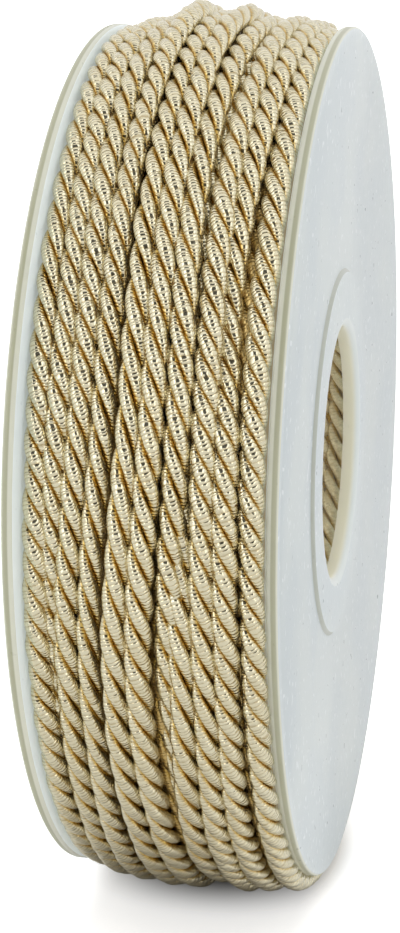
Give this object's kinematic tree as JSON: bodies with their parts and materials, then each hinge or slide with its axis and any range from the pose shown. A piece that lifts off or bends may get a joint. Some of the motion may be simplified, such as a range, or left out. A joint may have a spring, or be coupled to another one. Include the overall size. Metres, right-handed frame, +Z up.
{
  "type": "decorative twisted cord on a plastic spool",
  "caption": "Twisted metallic gimp cord wound in layers on a frosted plastic spool with an open bore, standing on its rim; used as trimming unwound from the spool.",
  "frame": {"origin": "on the surface, under the middle of the spool", "axes": "X along the spool's axis, +Z up, -Y towards the side where the turns run parallel"},
  "size_m": [0.0288, 0.1046, 0.1041],
  "materials": {
    "cord": "champagne gold metallic gimp, ribbed, satin with fine sparkle",
    "flange": "frosted milky translucent plastic, satin",
    "core": "clear plastic with a slight haze"
  },
  "bodies": {
    "root": {"winding": "cord", "flange_left": "flange", "flange_right": "flange", "core": "core"}
  },
  "joints": []
}
